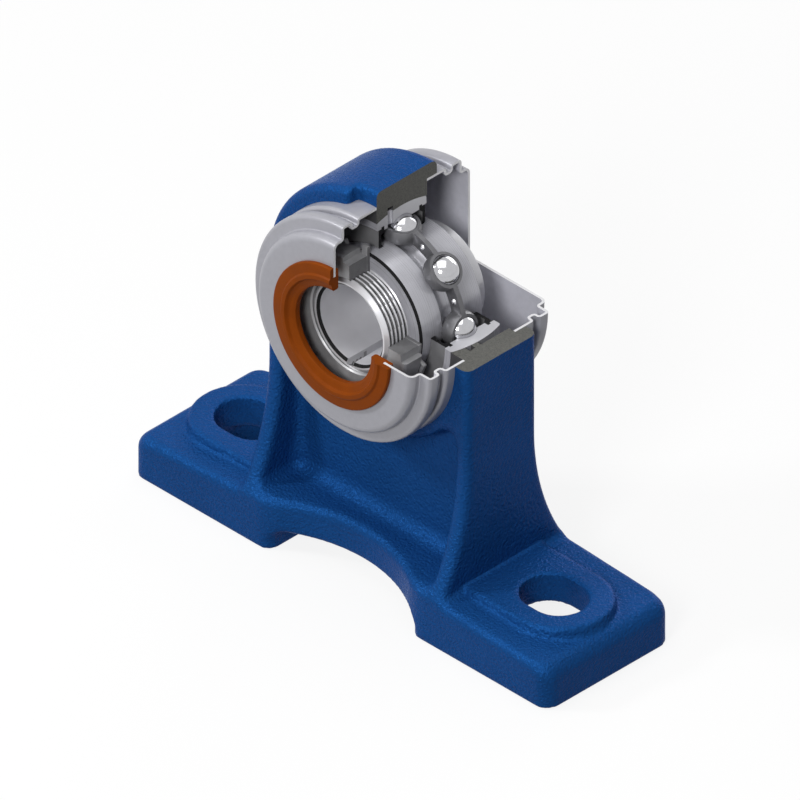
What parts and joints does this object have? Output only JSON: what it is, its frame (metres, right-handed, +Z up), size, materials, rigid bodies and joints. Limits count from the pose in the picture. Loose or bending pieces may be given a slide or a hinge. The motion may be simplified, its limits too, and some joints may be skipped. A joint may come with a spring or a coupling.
{
  "type": "pillow block bearing",
  "caption": "Cutaway pillow block with a high waisted housing, covers, shaft seal and a self-aligning ball insert on an adapter sleeve.",
  "frame": {"origin": "centre of the bolt pattern on the underside of the feet", "axes": "+X along the base through both bolt slots, -Y along the shaft towards the open cover and seal, +Z up"},
  "size_m": [0.165, 0.056, 0.13],
  "materials": {
    "housing_iron": "cast iron, blue paint",
    "seal_orange": "orange rubber, satin",
    "seal_black": "black rubber, matt",
    "sheet_zinc": "zinc-plated sheet, satin",
    "ring_steel": "ground bearing steel",
    "ball_steel": "polished bearing steel",
    "cage_steel": "dark pressed steel",
    "rivet_steel": "bright steel",
    "nut_steel": "dark steel",
    "sleeve_steel": "turned steel"
  },
  "bodies": {
    "housing": {"housing": "housing_iron", "front_cover": "sheet_zinc", "shaft_seal": "seal_orange", "rear_cover": "sheet_zinc"},
    "outer_ring": {"outer_ring": "ring_steel", "front_bearing_seal": "seal_black", "rear_bearing_seal": "seal_black"},
    "inner": {"inner_ring": "ring_steel", "adapter_sleeve": "sleeve_steel", "lock_washer": "nut_steel", "locknut": "nut_steel"},
    "cage": {"cage_front_half": "cage_steel", "cage_rear_half": "cage_steel", "cage_rivets": "rivet_steel"},
    "ball_1": {"ball_1": "ball_steel"},
    "ball_2": {"ball_2": "ball_steel"},
    "ball_3": {"ball_3": "ball_steel"},
    "ball_4": {"ball_4": "ball_steel"},
    "ball_5": {"ball_5": "ball_steel"},
    "ball_6": {"ball_6": "ball_steel"},
    "ball_7": {"ball_7": "ball_steel"},
    "ball_8": {"ball_8": "ball_steel"}
  },
  "joints": [
    {"name": "align_pitch", "type": "hinge", "parent": "housing", "child": "outer_ring", "pos_m": [0, 0, 0.09], "axis": [1, 0, 0], "range_deg": [-2, 2]},
    {"name": "shaft_spin", "type": "hinge", "parent": "outer_ring", "child": "inner", "pos_m": [0, 0, 0.09], "axis": [0, 1, 0], "continuous": true},
    {"name": "cage_spin", "type": "hinge", "parent": "outer_ring", "child": "cage", "pos_m": [0, 0, 0.09], "axis": [0, 1, 0], "continuous": true},
    {"name": "ball_1_spin", "type": "hinge", "parent": "cage", "child": "ball_1", "pos_m": [0, 0, 0.113], "axis": [0, 1, 0], "continuous": true},
    {"name": "ball_2_spin", "type": "hinge", "parent": "cage", "child": "ball_2", "pos_m": [0.01626, 0, 0.10626], "axis": [0, 1, 0], "continuous": true},
    {"name": "ball_3_spin", "type": "hinge", "parent": "cage", "child": "ball_3", "pos_m": [0.023, 0, 0.09], "axis": [0, 1, 0], "continuous": true},
    {"name": "ball_4_spin", "type": "hinge", "parent": "cage", "child": "ball_4", "pos_m": [0.01626, 0, 0.07374], "axis": [0, 1, 0], "continuous": true},
    {"name": "ball_5_spin", "type": "hinge", "parent": "cage", "child": "ball_5", "pos_m": [0, 0, 0.067], "axis": [0, 1, 0], "continuous": true},
    {"name": "ball_6_spin", "type": "hinge", "parent": "cage", "child": "ball_6", "pos_m": [-0.01626, 0, 0.07374], "axis": [0, 1, 0], "continuous": true},
    {"name": "ball_7_spin", "type": "hinge", "parent": "cage", "child": "ball_7", "pos_m": [-0.023, 0, 0.09], "axis": [0, 1, 0], "continuous": true},
    {"name": "ball_8_spin", "type": "hinge", "parent": "cage", "child": "ball_8", "pos_m": [-0.01626, 0, 0.10626], "axis": [0, 1, 0], "continuous": true}
  ],
  "couplings": [
    {"joint": "cage_spin", "follows": "shaft_spin", "ratio": 0.39647},
    {"joint": "ball_1_spin", "follows": "shaft_spin", "ratio": -2.3112},
    {"joint": "ball_2_spin", "follows": "shaft_spin", "ratio": -2.3112},
    {"joint": "ball_3_spin", "follows": "shaft_spin", "ratio": -2.3112},
    {"joint": "ball_4_spin", "follows": "shaft_spin", "ratio": -2.3112},
    {"joint": "ball_5_spin", "follows": "shaft_spin", "ratio": -2.3112},
    {"joint": "ball_6_spin", "follows": "shaft_spin", "ratio": -2.3112},
    {"joint": "ball_7_spin", "follows": "shaft_spin", "ratio": -2.3112},
    {"joint": "ball_8_spin", "follows": "shaft_spin", "ratio": -2.3112}
  ]
}
